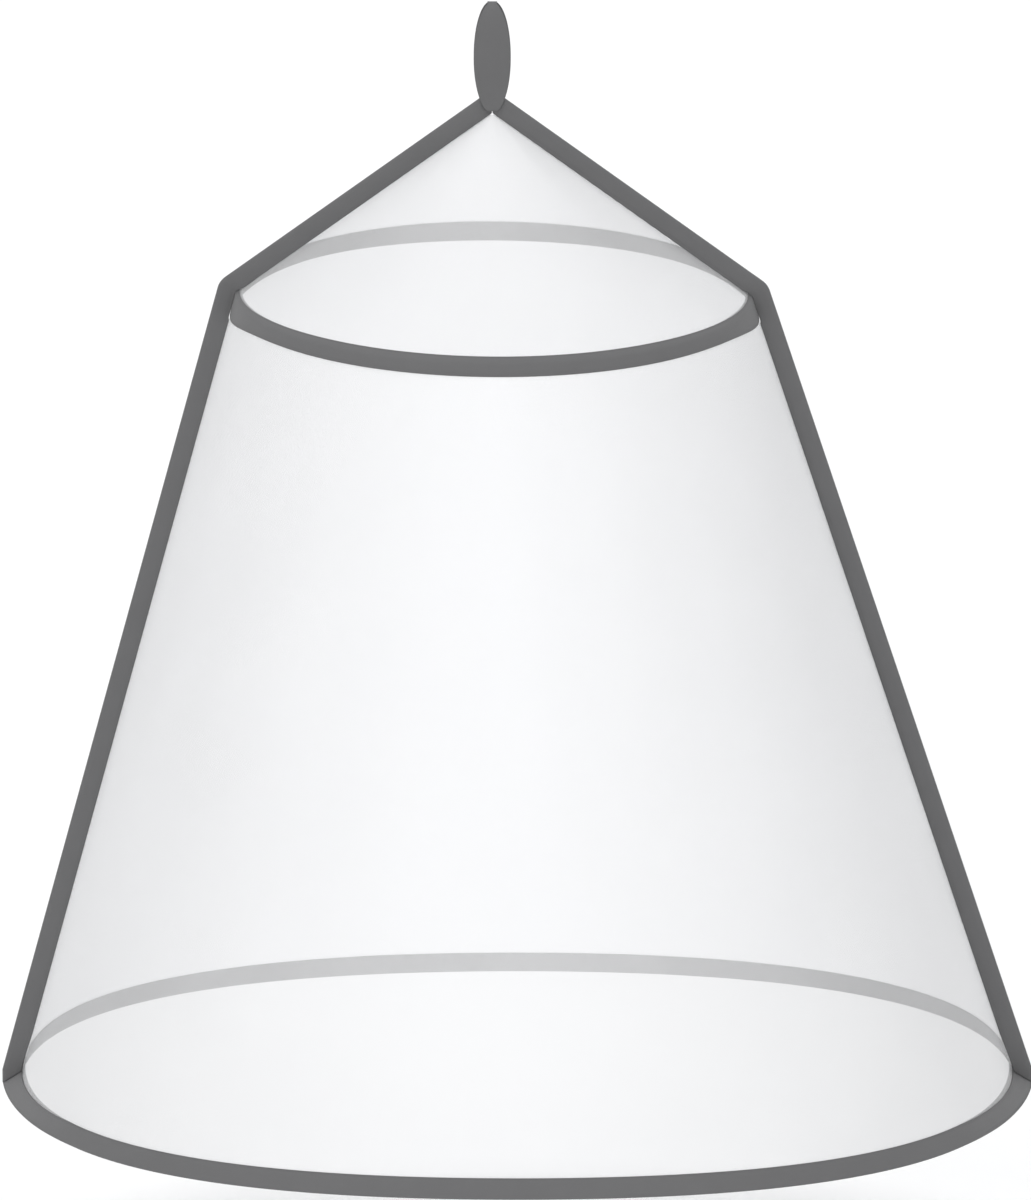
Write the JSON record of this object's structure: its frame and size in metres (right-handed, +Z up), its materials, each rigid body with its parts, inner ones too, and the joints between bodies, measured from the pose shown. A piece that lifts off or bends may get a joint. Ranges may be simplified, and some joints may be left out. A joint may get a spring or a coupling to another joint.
{
  "type": "mosquito net canopy with hoop",
  "caption": "Bell-shaped mosquito net that hangs from a cloth loop over a bed, spread by a hoop, with grey tape along its seams, shoulder and hem.",
  "frame": {"origin": "the top of the hanging loop, where a ceiling hook holds it", "axes": "+Z up, +X to the right side seam, -Y the front, towards which the hoop leans"},
  "size_m": [1.9551, 1.8512, 2.0999],
  "materials": {
    "white_net": "fine white polyester netting, see-through, matt",
    "grey_tape": "woven mid-grey polyester tape, matt, with two rows of stitching",
    "painted_steel": "white painted steel rod, hidden in the hoop's sleeve"
  },
  "bodies": {
    "root": {"hanging_loop": "grey_tape", "net_roof_front": "white_net", "net_roof_back": "white_net", "net_skirt_front": "white_net", "net_skirt_back": "white_net", "shoulder_tape": "grey_tape", "hoop_sleeve": "grey_tape", "hoop": "painted_steel", "side_binding_left": "grey_tape", "side_binding_right": "grey_tape", "hem_binding": "grey_tape"}
  },
  "joints": []
}
